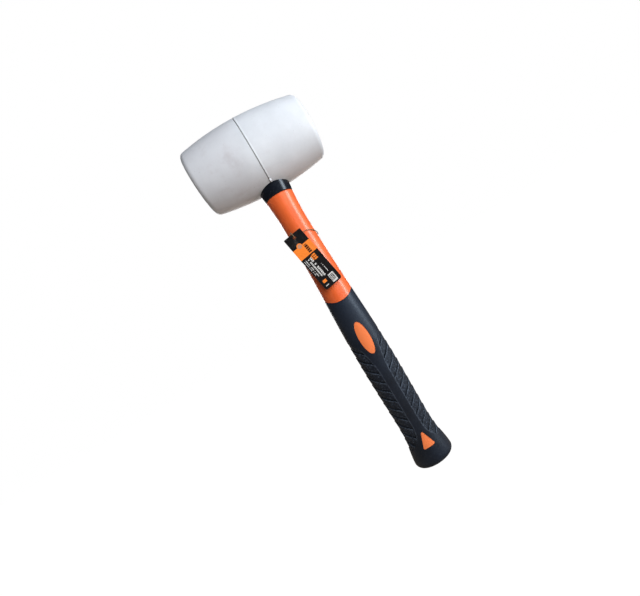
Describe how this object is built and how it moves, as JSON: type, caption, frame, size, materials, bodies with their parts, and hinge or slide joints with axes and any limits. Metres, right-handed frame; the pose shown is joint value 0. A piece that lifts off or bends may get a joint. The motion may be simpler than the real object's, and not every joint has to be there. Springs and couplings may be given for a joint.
{
  "type": "rubber mallet",
  "caption": "Barrel-headed rubber mallet with a two-material handle, a collar under the head and a swing tag on a string.",
  "frame": {"origin": "middle of the mallet's footprint, on the plane of the butt's flat end", "axes": "+Z runs from the butt up the handle to the head, X is the striking axis through both faces, and the tag hangs on the -Y side"},
  "size_m": [0.125, 0.0796, 0.3927],
  "materials": {
    "white_rubber": "matte moulded rubber, slightly chalky",
    "adhesive": "cured amber adhesive",
    "collar_plastic": "satin black moulding",
    "fibreglass": "cut end of a resin and glass rod",
    "orange_plastic": "smooth moulded plastic, satin in the grip's windows",
    "grip_rubber": "soft black overmoulding, grooved and finely grained",
    "twine": "two-ply twisted string",
    "tag_card": "coated printed card"
  },
  "bodies": {
    "mallet": {"rubber_head": "white_rubber", "eye_adhesive": "adhesive", "neck_collar": "collar_plastic", "handle_core": "fibreglass", "handle_jacket": "orange_plastic", "soft_grip": "grip_rubber"},
    "string_loop": {"tag_string": "twine"},
    "swing_tag": {"hang_tag": "tag_card"}
  },
  "joints": [
    {"name": "tag_turn", "type": "hinge", "parent": "mallet", "child": "string_loop", "pos_m": [0, 0, 0.257], "axis": [0, 0, 1], "continuous": true},
    {"name": "tag_swing", "type": "hinge", "parent": "string_loop", "child": "swing_tag", "pos_m": [-0.0085, -0.02, 0.2594], "axis": [-1, 0, 0], "range_deg": [0, 60]}
  ]
}
